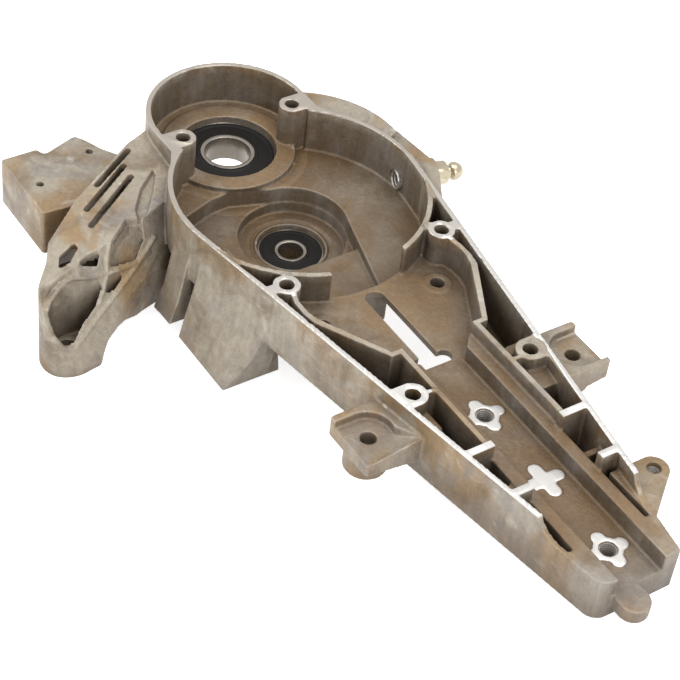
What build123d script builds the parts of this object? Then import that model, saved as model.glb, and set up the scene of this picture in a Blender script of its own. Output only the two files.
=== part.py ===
"""Half casing of a small right-angle crank gearbox, with its two sealed bearings and grease nipple.

Frame: the origin is on the crank bearing's axis in the machined cover face, +X runs along the
blade channel, +Y across it and +Z out of the open side. Lengths are millimetres.
"""
import os
from math import atan2, cos, degrees, dist, radians, sin, sqrt, tan

from build123d import *

os.makedirs("parts", exist_ok=True)

# casting: plan
wall = 1.7                  # rim and skirt walls
pinionX = -41.0             # pinion axis, behind the crank axis
pinionCupR = 27.3           # outside of the pinion cup
gearCupX = 1.0              # centre of the crank gear cup
gearCupR = 40.9             # outside of the crank gear cup
sideAngle = 9.3             # taper of each side wall towards the nose
noseX = 172.0               # far end of the casting
channelHalf = 12.4          # straight blade channel, half width above its ledge
grooveHalf = 8.2            # deep middle groove of the channel, half width
channelStart = 76.5         # where the straight channel begins
rimEnd = 147.5              # the machined rim stops here
noseCornerR = 5.0
finR = 42.1                 # outside of the arc wall between the cup and the channel
mouthHalf = 13.0            # half of the gap between the two arc walls

# casting: levels, measured down from the cover face
pinionFloor = 14.0
gearFloor = 16.0
pinionDiscR = 22.2          # raised disc round the pinion bearing
discStep = 0.7
crankWellR = 17.3           # round well at the bottom of the crank pocket
crankLedge = 22.0           # crescent ledge beside that well
throatFloor = 19.0          # step between the pocket and the channel
throatX = 17.0
crankPocketFloor = 26.0
channelFloor = 11.1
ledgeDepth = 5.2
channelWallDrop = 0.7       # the as-cast channel walls stop short of the cover face
corePocketFloor = 17.5
skirtDepth = 20.0
blockDepth = 38.0
floorThickness = 2.5

# cover screws, boss pitch taken from the crank axis
bossR = 4.2
screwHoleR = 2.3
screwHoleDepth = 13.0
rearBoss = (-36.0, 20.4)
middleBoss = (38.8, 28.0)
frontBoss = (94.0, 20.8)
frontBossR = 4.5

# spot-faced holes in the channel floor
spotX, spotY = 49.1, 20.9
spotR, spotHoleR, spotRise = 4.4, 2.2, 0.3

# blade studs and their pads on the channel floor
studPitch = 28.35
studX = 102.4
studHoleR = 2.5
padRise = 0.5
padReach = 6.6

# through slot in the channel floor
slotStartX = 43.2
slotEndX = 78.7
slotHalf = 3.15
slotBarWidth = 4.6
slotBarHalf = 6.7

# deep groove bearings, both sealed
pinionBore, pinionOd, pinionWidth = 15.0, 32.0, 9.0
crankBore, crankOd, crankWidth = 8.0, 22.0, 7.0
pinionSeat = 2.2            # top of the pinion bearing below its floor
crankSeat = 1.6             # top of the crank bearing below its floor
bearingWall = 3.0           # metal around and under each bearing
pinionLip = 2.0             # shoulder under the pinion bearing, half of the ring width
runningGap = 0.06           # between raceway, ball, cage and seal
pinionBallR, pinionBallCount, pinionRingWall = 2.38, 9, 2.35
crankBallR, crankBallCount, crankRingWall = 1.98, 7, 2.0

# ears
earX, earY = 96.2, 36.3
earTop = 8.0
earThickness = 6.5
earHoleR = 2.35
earBossR = 6.5
earBossBottom = 18.5
earHalf = 9.6               # half the ear's width along the channel
earReach = 6.8              # from the hole to the ear's outer edge
earDishR = 7.4
earWallRise = 2.8

# nose lug and tab
lugX, lugY = 145.1, 26.3
lugR = 4.6
lugThickness = 6.0
lugHoleR = 2.1
tabX, tabY = 176.0, -4.5
tabR = 4.6
tabTop = 11.0
tabThickness = 4.5

# engine side: bell round the pinion axis, guard arm with its foot, bracket
bellR = 29.6
bellBottom = 38.0
armWall = 2.4
footX, footY, footR = -3.0, -78.0, 9.0
footBottom = 44.0
footScrewDepth = 37.0       # top of the screw boss inside the foot
footHoleR = 2.6
slotWidth = 1.9
guardSlots = [((-44.0, -35.8), (-35.6, -51.2)), ((-38.9, -40.0), (-28.2, -58.6)), ((-33.8, -40.2), (-21.8, -60.4))]
bracketTop = 15.0
bracketBottom = 32.0
bracketHoleR = 1.2

# grease nipple, M6 with a 7 mm hexagon
nippleX = -0.4              # where its bore leaves the cup wall
nippleDepth = 12.6
nippleAngle = 76.0
nippleBossLength = 13.5
nippleBossR = 5.4
nippleThreadR = 3.0
nippleBoreR = 1.25
nippleHeadR = 3.1
hexAcross = 7.0


def sideHalf(x, inset=0.0):
    """Half width of the casing at x, measured square to the channel."""
    a = radians(sideAngle)
    return (gearCupR - inset) / cos(a) - (x - gearCupX) * tan(a)


def casing(depth=0.0, inset=0.0, endX=noseX):
    """Plan outline of the whole casting, inset by a wall."""
    a = radians(sideAngle)
    r = gearCupR - inset
    tx, ty = gearCupX + r * sin(a), r * cos(a)
    with BuildSketch(Plane.XY.offset(-depth)) as s:
        with Locations((pinionX, 0)):
            Circle(pinionCupR - inset)
        with Locations((gearCupX, 0)):
            Circle(r)
        Polygon((tx, ty), (tx, -ty), (endX, -sideHalf(endX, inset)), (endX, sideHalf(endX, inset)), align=None)
        if endX == noseX:
            fillet(s.vertices().group_by(Axis.X)[-1].sort_by(Axis.Y)[0], noseCornerR)
    return s.sketch


def mirrored(points):
    """The same run of points on both sides of the channel axis, as one closed outline."""
    return [*points, *[(x, -y) for x, y in reversed(points)]]


# inside faces of the channel: flared between the middle bosses, then straight
channelPlan = [
    (30.0, 20.0), (40.0, 26.6), (46.5, 28.3), (51.0, 28.4), (55.0, 27.4),
    (channelStart, 16.0), (channelStart, channelHalf), (118.7, channelHalf),
]
floorPlan = channelPlan[:-1] + [(channelStart + 4.5, grooveHalf), (noseX + 1, grooveHalf)]
ribs = [(118.8, 121.1), (136.2, 138.8)]         # machined cross ribs, start and end
bridge = (130.6, 132.6)                         # low bridge across the core pocket between them
bridgeTop = 6.0


def bosses(depth, webs=True):
    """Screw bosses with the webs that tie them to the rim."""
    with BuildSketch(Plane.XY.offset(-depth)) as s:
        for (bx, by), half in ((rearBoss, bossR), (middleBoss, 2.0), (frontBoss, frontBossR)):
            for side in (1, -1):
                with Locations((bx, by * side)):
                    Circle(frontBossR if bx == frontBoss[0] else bossR)
                if webs:
                    reach = sideHalf(bx) if bx > 0 else pinionCupR
                    with Locations((bx, side * (by + reach) / 2)):
                        Rectangle(2 * half, reach - by)
        for side in (1, -1):
            with Locations((frontBoss[0] + 1.0, side * (frontBoss[1] + channelHalf) / 2)):
                Rectangle(1.3, frontBoss[1] - channelHalf)
    return s.sketch


def crankPocket(depth, inset=0.0):
    """Deep pocket round the crank bearing, opening towards the channel."""
    with BuildSketch(Plane.XY.offset(-depth)) as s:
        with BuildLine():
            p1 = Line((38.0, 7.6), (6.9, 16.3))
            p2 = ThreePointArc(p1 @ 1, (-8.0, 15.8), (-17.6, 2.0))
            p3 = Line(p2 @ 1, (-22.0, -11.0))
            p4 = Line(p3 @ 1, (-21.5, -17.3))
            p5 = Line(p4 @ 1, (-17.5, -29.5))
            p6 = Line(p5 @ 1, (16.5, -29.5))
            p7 = Line(p6 @ 1, (28.0, -15.0))
            p8 = Line(p7 @ 1, (38.0, -7.6))
            Line(p8 @ 1, p1 @ 0)
        make_face()
        if inset:
            offset(amount=-inset, kind=Kind.INTERSECTION)
    return s.sketch


def quad(section):
    """Four-sided section of the crank block at one level: its two x values and outer edges."""
    (x0, x1, z), (y0, y1) = section
    Polygon((x0, y0), (x1, y1), (x1, -26.0), (x0, -26.0), align=None)


def slopeCutter(a, b, c, size=400.0):
    """A large block standing on the plane through the three points, used to cut everything above it."""
    u, v = Vector(*b) - Vector(*a), Vector(*c) - Vector(*a)
    n = u.cross(v)
    n = n if n.Z > 0 else -n
    plane = Plane(origin=a, z_dir=n)
    return plane * Box(size, size, size, align=(Align.CENTER, Align.CENTER, Align.MIN), mode=Mode.PRIVATE)


# directions of the grease nipple's bore
nippleOut = Vector(cos(radians(nippleAngle)), sin(radians(nippleAngle)), 0)
nippleFoot = Vector(nippleX, sqrt((gearCupR - wall) ** 2 - (nippleX - gearCupX) ** 2), -nippleDepth)
nipplePlane = Plane(origin=nippleFoot, x_dir=(0, 0, 1), z_dir=nippleOut)

# guard arm: plan, and the slopes of its two top faces
armPlan = [(-50, -24), (-46.8, -34.6), (-38.3, -50.5), (-33.1, -60.2), (-27.1, -68.1), (-21.8, -75.2), (-15.1, -79.3),
           (-9.4, -84.4), (-3, -80), (6, -78), (4.9, -71), (0.5, -66), (-4.0, -58), (-7.5, -50), (-9.5, -43), (-9, -30)]
guardHollow = [(-47.3, -26), (-44.4, -35.0), (-36.2, -50.5), (-31.0, -60.2), (-20.6, -73.2), (-14.5, -77.0), (-10.6, -77.0),
               (-10.6, -62.0), (-12.0, -50.0), (-12.0, -26)]
footHollow = [(-7.0, -81.4), (-8.2, -76.8), (-8.2, -65.6), (-6.9, -64.6), (-3.8, -68.5), (-1.2, -74.0), (1.6, -78.6),
              (2.2, -82.0), (0.5, -84.2), (-2.5, -85.0), (-5.5, -84.0)]
# shallow pockets beside the ribs of the foot, and how deep each one goes
armPockets = [([(-18.0, -68.2), (-15.3, -74.6), (-11.0, -77.2), (-11.8, -73.0), (-15.8, -68.2)], 6.0),
              ([(-12.4, -62.3), (-12.0, -67.0), (-9.9, -72.6), (-9.9, -64.8)], 6.0),
              ([(-8.4, -61.2), (-5.2, -65.4), (-6.6, -60.0), (-9.6, -54.0)], 8.0),
              ([(-13.0, -57.4), (-9.6, -61.0), (-10.9, -50.8), (-14.6, -46.0), (-17.0, -50.0)], 2.2)]
# side view of what is missing under the arm, behind its foot
armArch = [(-70.0, -44.2), (-68.5, -41.0), (-65.5, -38.5), (-61.0, -37.3), (-57.0, -37.8), (-52.0, -39.8), (-20.0, -39.8), (-20.0, -44.2)]
guardSlope = ((-47, -34, -5.0), (-5, -84, -15.0), (-9, -44, -11.0))
footSlope = ((-7, -81, -15.0), (-8, -64, -20.0), (3, -84, -33.0))

with BuildPart() as guard:
    with BuildSketch():
        Polygon(*armPlan, align=None)
        with Locations((footX, footY)):
            Circle(footR)
    extrude(amount=-footBottom)
    add(slopeCutter(*guardSlope), mode=Mode.SUBTRACT)
    add(slopeCutter(*footSlope), mode=Mode.SUBTRACT)
    # inside of the guard, open below
    with BuildSketch():
        Polygon(*guardHollow, align=None)
    hollow = extrude(amount=-footBottom - 1, mode=Mode.PRIVATE)
    lowered = [[(x, y, z - armWall * k) for x, y, z in slope] for slope, k in ((guardSlope, 1), (footSlope, 2))]
    add(hollow - slopeCutter(*lowered[0]) - slopeCutter(*lowered[1]), mode=Mode.SUBTRACT)
    # open foot
    with BuildSketch():
        Polygon(*footHollow, align=None)
    extrude(amount=-footScrewDepth - 2, mode=Mode.SUBTRACT)
    for outline, depth in armPockets:
        with BuildSketch():
            Polygon(*outline, align=None)
            fillet(vertices(), 0.5)
        pocket = extrude(amount=-footBottom, mode=Mode.PRIVATE)
        above = [slopeCutter(*[(x, y, z - depth) for x, y, z in slope]) for slope in (guardSlope, footSlope)]
        add((pocket & above[0]) + (pocket & above[1]), mode=Mode.SUBTRACT)
    with BuildSketch(Plane.YZ.offset(-60)):
        Polygon(*armArch, align=None)
    extrude(amount=120, mode=Mode.SUBTRACT)
    with BuildSketch(Plane.XY.offset(-footBottom)):
        with Locations((footX + 1, footY - 1)):
            Circle(4.6)
    extrude(amount=footBottom - footScrewDepth)
    with Locations((footX + 1, footY - 1, -footScrewDepth)):
        Hole(footHoleR, depth=20)
    # two long slots between the guard's bars
    with BuildSketch():
        for top, bottom in guardSlots:
            with Locations(Location(((top[0] + bottom[0]) / 2, (top[1] + bottom[1]) / 2, 0),
                                    (0, 0, degrees(atan2(bottom[1] - top[1], bottom[0] - top[0]))))):
                SlotCenterToCenter(dist(top, bottom), slotWidth)
    extrude(amount=-22, mode=Mode.SUBTRACT)

with BuildPart() as bracket:
    with BuildSketch(Plane.XY.offset(-bracketTop)):
        Polygon((-68, -69), (-68, -56), (-64.5, -55), (-69, -42), (-66, -40), (-59, -37), (-53, -33), (-44, -38),
                (-40, -51), (-37, -58), (-38, -69), align=None)
        fillet(vertices(), 1.4)
    extrude(amount=-(bracketBottom - bracketTop))
    with BuildSketch(Plane.XY.offset(-bracketTop - armWall)):
        Polygon((-66, -67), (-66, -54), (-62.5, -53), (-66.5, -43), (-58, -39.4), (-53, -36), (-46.5, -40),
                (-42.4, -52), (-39.5, -58.5), (-40.4, -67), align=None)
    extrude(amount=-(bracketBottom - bracketTop), mode=Mode.SUBTRACT)
    with Locations((-59.5, -41.3, -bracketTop), (-51.5, -63.0, -bracketTop)):
        Hole(bracketHoleR, depth=armWall + 1)

with BuildPart() as housing:
    # outer body down to the skirt, and the filled crotch between the two cups
    extrude(casing(), amount=-skirtDepth)
    with BuildSketch():
        Polygon(*mirrored([(pinionX, pinionCupR), (rearBoss[0] + bossR + 0.4, pinionCupR), (-25.5, 31.0), (-15, 0)]), align=None)
    extrude(amount=-skirtDepth)
    # flat flange outside the cups, flush with the rim
    with BuildSketch(Plane.XY.offset(-0.4)):
        with BuildLine():
            l1 = ThreePointArc((pinionX, pinionCupR - 0.5), (-28.5, 39.4), (-9.0, 43.8))
            l2 = Polyline(l1 @ 1, (-6.0, 37.0), (-24.0, 26.0), (-38.0, 20.0))
            Line(l2 @ 1, l1 @ 0)
        make_face()
    extrude(amount=-3.2)

    # crank block below the skirt, flared outwards to its foot in two steps
    for run in (((9.4, 34.0, -8.0), (-39.9, -35.9)), ((9.4, 34.0, -20.0), (-42.2, -36.3)), ((9.4, 34.6, -28.0), (-44.2, -40.2)),
                ((9.4, 36.6, -blockDepth), (-46.5, -46.5))), \
               (((-4.6, 4.7, -8.0), (-40.4, -40.5)), ((-4.6, 4.7, -28.0), (-44.4, -44.2)), ((-5.0, 4.7, 1.5 - blockDepth), (-47.3, -47.0))):
        for upper, lower in zip(run, run[1:]):
            with BuildSketch(Plane.XY.offset(upper[0][2])):
                quad(upper)
            with BuildSketch(Plane.XY.offset(lower[0][2])):
                quad(lower)
            loft(ruled=True)

    # bell for the clutch, round the pinion axis, and the pocket body next to it
    with BuildSketch(Plane.XY.offset(-skirtDepth)):
        with Locations((pinionX, 0)):
            Circle(bellR)
    extrude(amount=-(bellBottom - skirtDepth))
    with BuildSketch(Plane.XY.offset(-skirtDepth)):
        with Locations((pinionX, 0)):
            Circle(bellR - armWall)
    extrude(amount=-40, mode=Mode.SUBTRACT)
    extrude(crankPocket(gearFloor, -floorThickness), amount=-(crankPocketFloor + floorThickness - gearFloor))
    # bearing housings under the cups
    with BuildSketch(Plane.XY.offset(-crankPocketFloor)):
        Circle(crankOd / 2 + bearingWall)
    extrude(amount=-(crankSeat + crankWidth + bearingWall))
    with BuildSketch(Plane.XY.offset(-pinionFloor)):
        with Locations((pinionX, 0)):
            Circle(pinionOd / 2 + bearingWall)
    extrude(amount=-(pinionSeat + pinionWidth + bearingWall))

    # nipple boss on the gear cup
    with BuildSketch(Plane.XY.offset(-3.0)):
        Polygon((-20, 36), (-20, 42.3), (-12, 46.4), (6.5, 48.2), (11.5, 47.0), (24, 39.4), (20, 34), align=None)
    extrude(amount=-15.5)
    with BuildSketch(nipplePlane.offset(1.0)):
        Circle(nippleBossR)
    extrude(amount=nippleBossLength - 1.0)

    add(guard.part)
    add(bracket.part)

    # the two cups
    with BuildSketch():
        with Locations((pinionX, 0)):
            Circle(pinionCupR - wall)
        add(bosses(0), mode=Mode.SUBTRACT)
    extrude(amount=-pinionFloor, mode=Mode.SUBTRACT)
    with BuildSketch():
        with Locations((pinionX, 0)):
            Circle(pinionCupR - wall)
            Circle(pinionDiscR, mode=Mode.SUBTRACT)
        add(bosses(0), mode=Mode.SUBTRACT)
    extrude(amount=-pinionFloor - discStep, mode=Mode.SUBTRACT)
    with BuildSketch() as gearCup:
        with Locations((gearCupX, 0)):
            Circle(finR - wall)
        add(casing(0, wall), mode=Mode.INTERSECT)
        with Locations((pinionX, 0)):
            Circle(pinionDiscR, mode=Mode.SUBTRACT)
        add(bosses(0), mode=Mode.SUBTRACT)
    extrude(amount=-gearFloor, mode=Mode.SUBTRACT)

    # crank pocket, open towards the channel
    extrude(crankPocket(gearFloor - 1), amount=-(throatFloor - gearFloor + 1), mode=Mode.SUBTRACT)
    with BuildSketch(Plane.XY.offset(-throatFloor)):
        add(crankPocket(0))
        with Locations((throatX, 0)):
            Rectangle(60, 80, align=(Align.MIN, Align.CENTER), mode=Mode.SUBTRACT)
    extrude(amount=-(crankLedge - throatFloor), mode=Mode.SUBTRACT)
    with BuildSketch(Plane.XY.offset(-throatFloor)):
        Circle(crankWellR)
        add(crankPocket(0), mode=Mode.INTERSECT)
    extrude(amount=-(crankPocketFloor - throatFloor), mode=Mode.SUBTRACT)
    with BuildSketch(Plane.XY.offset(-crankPocketFloor)):
        Circle(crankOd / 2 + 2.2)
        Circle(crankOd / 2 + 0.9, mode=Mode.SUBTRACT)
    extrude(amount=-0.8, mode=Mode.SUBTRACT)

    # channel floor, ledges and nose
    with BuildSketch():
        Polygon(*mirrored(floorPlan), align=None)
        with Locations((gearCupX, 0)):
            Circle(finR, mode=Mode.SUBTRACT)
        with Locations((42.0, 0)):
            Rectangle(8.0, 2 * mouthHalf)
        add(bosses(0), mode=Mode.SUBTRACT)
    extrude(amount=-channelFloor, mode=Mode.SUBTRACT)
    with BuildSketch():
        Polygon(*mirrored([(channelStart, channelHalf), (noseX + 1, channelHalf)]), align=None)
        for x0, x1 in ribs:
            with Locations(((x0 + x1) / 2, 0)):
                with GridLocations(0, 2 * 18.0, 1, 2):
                    Rectangle(x1 - x0, 12.4, mode=Mode.SUBTRACT)
    extrude(amount=-ledgeDepth, mode=Mode.SUBTRACT)
    with BuildSketch(Plane.XZ.offset(-40)):
        with BuildLine():
            r1 = Line((noseX + 2, 1), (rimEnd, 1))
            r2 = Line(r1 @ 1, (rimEnd, 0))
            r3 = ThreePointArc(r2 @ 1, (rimEnd + 3.0, -3.6), (rimEnd + 9.0, -ledgeDepth))
            r4 = Line(r3 @ 1, (noseX + 2, -ledgeDepth))
            Line(r4 @ 1, r1 @ 0)
        make_face()
    extrude(amount=80, mode=Mode.SUBTRACT)

    # core pockets between the channel walls and the skirt
    with BuildSketch():
        add(casing(0, wall, endX=158.0))
        with Locations((0, 0)):
            Rectangle(2 * 22.0, 120, mode=Mode.SUBTRACT)
        with Locations((-60, 0)):
            Rectangle(120, 120, mode=Mode.SUBTRACT)
        Polygon(*mirrored([(20, 24.0), (38, 28.0), (46.5, 28.3 + wall), (51.4, 28.4 + wall), (56, 27.6 + wall),
                           (channelStart + wall, 16.0 + wall * 0.6), (channelStart + wall, channelHalf + wall),
                           (120, channelHalf + wall), (120, channelHalf), (170, channelHalf)]), align=None, mode=Mode.SUBTRACT)
        with Locations((gearCupX, 0)):
            Circle(finR, mode=Mode.SUBTRACT)
        for x0, x1 in ribs:
            with Locations(((x0 + x1) / 2, 0)):
                Rectangle(x1 - x0, 60, mode=Mode.SUBTRACT)
        add(bosses(0), mode=Mode.SUBTRACT)
    extrude(amount=-corePocketFloor, mode=Mode.SUBTRACT)
    with BuildSketch(Plane.XY.offset(-bridgeTop)):
        with Locations(((bridge[0] + bridge[1]) / 2, 0)):
            with GridLocations(0, 2 * (channelHalf + 3.5), 1, 2):
                Rectangle(bridge[1] - bridge[0], 8.0)
    extrude(amount=-(corePocketFloor - bridgeTop))

    # underside of the channel, open between its walls
    with BuildSketch(Plane.XY.offset(-skirtDepth)):
        with Locations(((42 + 168) / 2, 0)):
            Rectangle(168 - 42, 2 * channelHalf)
    extrude(amount=skirtDepth - channelFloor - floorThickness, mode=Mode.SUBTRACT)

    # as-cast channel walls a little below the machined face
    with BuildSketch():
        Polygon(*mirrored([(46, 31), (56, 31), (channelStart + 3, 18), (channelStart + 3, 15), (118.7, 15)]), align=None)
        add(bosses(0), mode=Mode.SUBTRACT)
    extrude(amount=-channelWallDrop, mode=Mode.SUBTRACT)
    with BuildSketch():
        with Locations((gearCupX, 0)):
            Circle(finR + 0.5)
        with Locations((finR - 6.0, 0)):
            Rectangle(20, 2 * 23.8, mode=Mode.INTERSECT)
    extrude(amount=-channelWallDrop, mode=Mode.SUBTRACT)
    with BuildSketch():
        with Locations(frontBoss):
            Circle(frontBossR + 0.2)
        with Locations((frontBoss[0], frontBoss[1] + 2.5)):
            Rectangle(2 * frontBossR + 0.4, 1.4)
    extrude(amount=-channelWallDrop, mode=Mode.SUBTRACT)

    # spot faces with drain holes beside the middle bosses
    with BuildSketch(Plane.XY.offset(-channelFloor - 0.5)):
        with GridLocations(0, 2 * spotY, 1, 2):
            with Locations((spotX, 0)):
                Circle(spotR)
    extrude(amount=0.5 + spotRise)
    with Locations((spotX, spotY, -channelFloor + spotRise), (spotX, -spotY, -channelFloor + spotRise)):
        Hole(spotHoleR, depth=floorThickness + 2)

    # pads on the channel floor
    for i in range(3):
        with BuildSketch(Plane.XY.offset(-channelFloor - 0.5)):
            with Locations((studX + i * studPitch, 0)):
                SlotOverall(2 * padReach, 4.2)
                SlotOverall(2 * padReach, 4.2, rotation=90)
                if i != 1:
                    Circle(4.3)
        extrude(amount=padRise + 0.5)

    # through slot in the channel floor
    with BuildSketch(Plane.XY.offset(-channelFloor + 2)):
        with Locations(((slotStartX + slotEndX) / 2, 0)):
            SlotOverall(slotEndX - slotStartX, 2 * slotHalf)
        with Locations((slotEndX - slotBarWidth / 2, 0)):
            SlotOverall(2 * slotBarHalf, slotBarWidth, rotation=90)
    extrude(amount=-floorThickness - 4, mode=Mode.SUBTRACT)

    # ears: a plate with a round dish, a wall on each side of it and a boss below
    for side in (1, -1):
        with BuildSketch(Plane.XY.offset(-earTop + earWallRise)):
            with Locations((earX - 0.2, side * (earY - 6))):
                Rectangle(2 * earHalf, 2 * (earReach + 6))
            fillet(vertices(), 1.0)
        extrude(amount=-(earThickness + earWallRise))
        with BuildSketch(Plane.XY.offset(-earTop + earWallRise)):
            with Locations((earX, side * earY)):
                Circle(earDishR)
            with Locations((earX, side * (earY + earReach))):
                Rectangle(2 * earDishR, 2 * earReach)
        extrude(amount=-earWallRise, mode=Mode.SUBTRACT)
        with BuildSketch(Plane.XY.offset(-earTop)):
            with Locations((earX, side * earY)):
                Circle(earBossR)
        extrude(amount=-(earBossBottom - earTop))

    # nose lug, nose tab
    with BuildSketch(Plane.XY.offset(-ledgeDepth)):
        with Locations((lugX, lugY)):
            Circle(lugR)
        Polygon((lugX - lugR, lugY), (lugX - lugR, lugY - 12.3), (lugX + 15.4, lugY - 12.3), (lugX + 3.0, lugY + 3.5), align=None)
    extrude(amount=-lugThickness)
    with BuildSketch(Plane.XY.offset(-tabTop)):
        with Locations((tabX, tabY)):
            Circle(tabR)
            with Locations((-6, 0)):
                Rectangle(12, 2 * tabR)
    extrude(amount=-tabThickness)

    # bores and holes
    with BuildSketch(Plane.XY.offset(-crankPocketFloor - crankSeat - crankWidth)):
        Circle(crankOd / 2)
    extrude(amount=crankSeat + crankWidth + 1, mode=Mode.SUBTRACT)
    with BuildSketch(Plane.XY.offset(-pinionFloor - pinionSeat - pinionWidth)):
        with Locations((pinionX, 0)):
            Circle(pinionOd / 2)
    extrude(amount=pinionSeat + pinionWidth + 1, mode=Mode.SUBTRACT)
    with BuildSketch(Plane.XY.offset(-pinionFloor)):
        with Locations((pinionX, 0)):
            Circle(pinionOd / 2 - pinionLip)
    extrude(amount=-30, mode=Mode.SUBTRACT)
    with Locations(*[(x, y * s, 0) for x, y in (rearBoss, middleBoss, frontBoss) for s in (1, -1)]):
        Hole(screwHoleR, depth=screwHoleDepth)
    with Locations(*[(studX + i * studPitch, 0, -channelFloor + padRise) for i in (0, 2)]):
        Hole(studHoleR, depth=floorThickness + padRise + 1)
    with Locations(*[(earX, s * earY, -earTop) for s in (1, -1)]):
        Hole(earHoleR, depth=earBossBottom)
    with Locations((lugX, lugY, -ledgeDepth)):
        Hole(lugHoleR, depth=lugThickness + 1)
    with BuildSketch(nipplePlane.offset(-1)):
        Circle(nippleThreadR)
    extrude(amount=nippleBossLength + 2, mode=Mode.SUBTRACT)

housing.part.label = "housing"
export_step(housing.part, "parts/housing.step")
print("housing", len(housing.part.solids()), round(housing.part.volume / 1000, 2), "cm3", housing.part.bounding_box())


def ring(innerR, outerR, top, height, x):
    """Plain ring on a bearing axis, measured down from its top."""
    with BuildPart() as p:
        with BuildSketch(Plane.XY.offset(-top - height)):
            with Locations((x, 0)):
                Circle(outerR)
                Circle(innerR, mode=Mode.SUBTRACT)
        extrude(amount=height)
    return p.part


def bearing(name, x, top, bore, od, width, ballR, ballCount, ringWall):
    """The six pieces of a sealed deep groove bearing: rings, balls, cage and both seals."""
    pitchR = (bore + od) / 4
    grooveR = ballR + runningGap
    raceInner, raceOuter = bore / 2 + ringWall, od / 2 - ringWall
    midZ = -top - width / 2
    sealWidth, sealInset = 0.7, 0.2
    cageHalf = min(ballR + 0.6, width / 2 - sealInset - sealWidth - 0.1)
    with BuildPart() as outer:
        add(ring(raceOuter, od / 2, top, width, x))
        fillet(outer.edges().filter_by(GeomType.CIRCLE).filter_by(lambda e: abs(e.radius - od / 2) < 1e-6), 0.4)
        with Locations((x, 0, midZ)):
            Torus(pitchR, grooveR, mode=Mode.SUBTRACT)
    with BuildPart() as inner:
        add(ring(bore / 2, raceInner, top, width, x))
        fillet(inner.edges().filter_by(GeomType.CIRCLE).filter_by(lambda e: abs(e.radius - bore / 2) < 1e-6), 0.4)
        with Locations((x, 0, midZ)):
            Torus(pitchR, grooveR, mode=Mode.SUBTRACT)
    with BuildPart() as balls:
        with Locations((x, 0, midZ)):
            with PolarLocations(pitchR, ballCount):
                Sphere(ballR)
    with BuildPart() as cage:
        add(ring(pitchR - 0.55, pitchR + 0.55, top + width / 2 - cageHalf, 2 * cageHalf, x))
        with Locations((x, 0, midZ)):
            with PolarLocations(pitchR, ballCount):
                Cylinder(grooveR, 4.0, rotation=(0, 90, 0), mode=Mode.SUBTRACT)
    sealInner, sealOuter = raceInner + runningGap, raceOuter
    sealTop = ring(sealInner, sealOuter, top + sealInset, sealWidth, x)
    sealBottom = ring(sealInner, sealOuter, top + width - sealInset - sealWidth, sealWidth, x)
    pieces = {"outer_ring": outer.part, "inner_ring": inner.part, "balls": balls.part,
              "cage": cage.part, "seal_top": sealTop, "seal_bottom": sealBottom}
    for piece, solid in pieces.items():
        solid.label = name + "_" + piece
        export_step(solid, "parts/" + name + "_" + piece + ".step")
        print(solid.label, len(solid.solids()), round(solid.volume, 1))


bearing("pinion_bearing", pinionX, pinionFloor + pinionSeat, pinionBore, pinionOd, pinionWidth,
        pinionBallR, pinionBallCount, pinionRingWall)
bearing("crank_bearing", 0.0, crankPocketFloor + crankSeat, crankBore, crankOd, crankWidth,
        crankBallR, crankBallCount, crankRingWall)

# grease nipple: thread, hexagon, neck and head, with the check ball inside
hexStart = nippleBossLength
hexHeight, neckLength, headLength = 4.0, 1.6, 4.2
nippleEnd = hexStart + hexHeight + neckLength + headLength
seatR = 0.6                 # opening the check ball closes
checkBallR = 1.1
with BuildPart() as nippleBody:
    with BuildSketch(nipplePlane.offset(hexStart - 7.0)):
        Circle(nippleThreadR)
    extrude(amount=7.0)
    with BuildSketch(nipplePlane.offset(hexStart)):
        RegularPolygon(hexAcross / 2, 6, major_radius=False)
    extrude(amount=hexHeight)
    with BuildSketch(nipplePlane.offset(hexStart + hexHeight)):
        Circle(2.2)
    extrude(amount=neckLength)
    with BuildSketch(nipplePlane.offset(hexStart + hexHeight + neckLength)):
        Circle(nippleHeadR)
    extrude(amount=headLength - 1.0)
    with BuildSketch(nipplePlane.offset(nippleEnd - 1.0)):
        Circle(nippleHeadR)
    extrude(amount=1.0, taper=35)
    with BuildSketch(nipplePlane.offset(hexStart - 8.0)):
        Circle(nippleBoreR)
    extrude(amount=nippleEnd - hexStart + 8.0 - 1.3, mode=Mode.SUBTRACT)
    with BuildSketch(nipplePlane.offset(nippleEnd - 2.0)):
        Circle(seatR)
    extrude(amount=3.0, mode=Mode.SUBTRACT)
nippleBody.part.label = "nipple_body"
export_step(nippleBody.part, "parts/nipple_body.step")

ballCentre = nippleEnd - 1.3 - sqrt(checkBallR ** 2 - seatR ** 2) - 0.02
with BuildPart() as checkBall:
    with Locations(nipplePlane.offset(ballCentre)):
        Sphere(checkBallR)
checkBall.part.label = "nipple_check_ball"
export_step(checkBall.part, "parts/nipple_check_ball.step")
for p in (nippleBody, checkBall):
    print(p.part.label, len(p.part.solids()), round(p.part.volume, 1))
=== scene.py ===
# Gearbox casing with its two bearings and grease nipple, dressed for a studio shot.
import math

import bmesh
import bpy
import numpy as np
from mathutils import Matrix, Vector


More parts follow.
